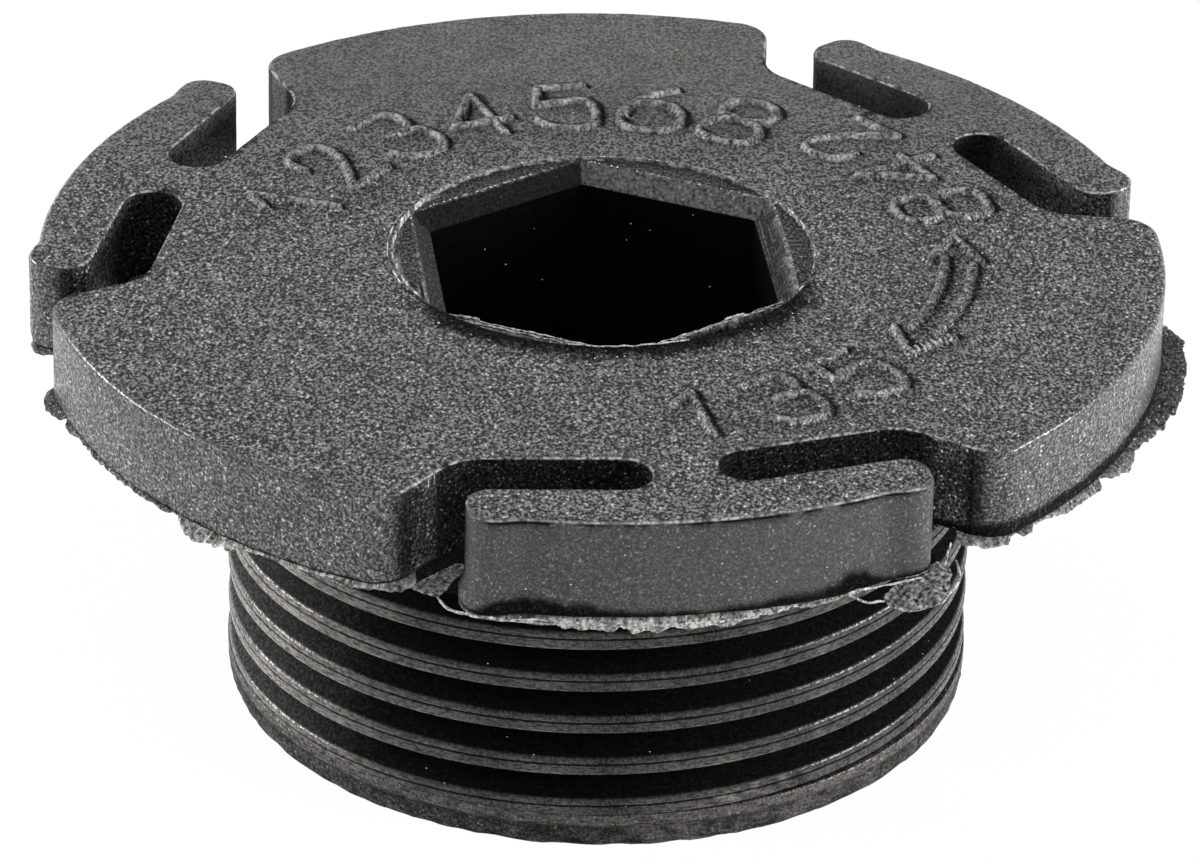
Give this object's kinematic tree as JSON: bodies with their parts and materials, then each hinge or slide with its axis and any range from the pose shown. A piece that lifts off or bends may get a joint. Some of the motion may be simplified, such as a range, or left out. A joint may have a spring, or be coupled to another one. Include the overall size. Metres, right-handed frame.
{
  "type": "oil drain plug",
  "caption": "One-piece moulded drain plug: round head with spring fingers at its rim, hexagon socket and a short threaded shank below it.",
  "frame": {"origin": "on the thread's axis, in the plane of the head's underside, which seats on the sump", "axes": "+Z along the thread's axis, out of the hexagon socket; the thread points to -Z; the first spring finger stands at -79 degrees from +X"},
  "size_m": [0.0353, 0.035, 0.0144],
  "materials": {
    "black_plastic": "spark-eroded matt on the head, smooth on the thread"
  },
  "bodies": {
    "root": {"drain_plug": "black_plastic"}
  },
  "joints": []
}
